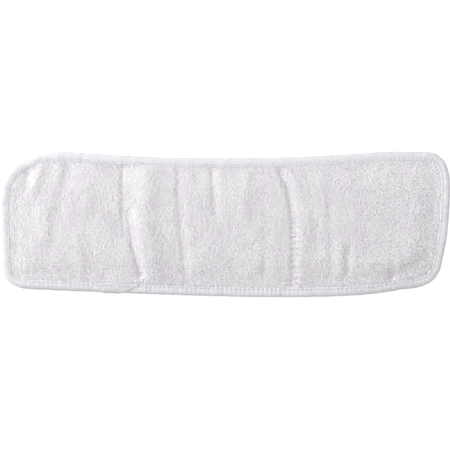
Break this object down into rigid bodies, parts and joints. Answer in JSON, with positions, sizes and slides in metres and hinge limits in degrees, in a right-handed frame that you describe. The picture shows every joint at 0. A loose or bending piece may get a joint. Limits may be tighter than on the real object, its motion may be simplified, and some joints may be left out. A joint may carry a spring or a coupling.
{
  "type": "sports headband",
  "caption": "Bound terry towelling forehead pad with an elastic strap that folds under it and fastens with a hook patch.",
  "frame": {"origin": "under the middle of the headband, on the surface that it lies on", "axes": "+X along the headband towards its tighter cornered end, +Y towards the dipped upper edge of the pad, +Z out of the pad's face"},
  "size_m": [0.262, 0.0852, 0.0125],
  "materials": {
    "towelling": "white cotton terry towelling, uncut loops",
    "wadding": "white needled wadding",
    "binding_tape": "white plain-weave cotton tape, folded",
    "thread": "white spun polyester thread",
    "elastic": "white woven elastic, matt",
    "hook_tape": "white nylon hook tape"
  },
  "bodies": {
    "pad": {"face_terry_panel": "towelling", "absorbent_core": "wadding", "back_terry_panel": "towelling", "edge_binding": "binding_tape", "binding_face_thread": "thread", "binding_back_thread": "thread", "strap_sewn_end": "elastic", "strap_root_thread": "thread"},
    "strap": {"elastic_strap": "elastic", "hook_patch": "hook_tape", "hook_patch_thread": "thread"}
  },
  "joints": [
    {"name": "strap_fold", "type": "hinge", "parent": "pad", "child": "strap", "pos_m": [-0.122, 0, 0.002], "axis": [0, 1, 0], "range_deg": [0, 180]}
  ]
}
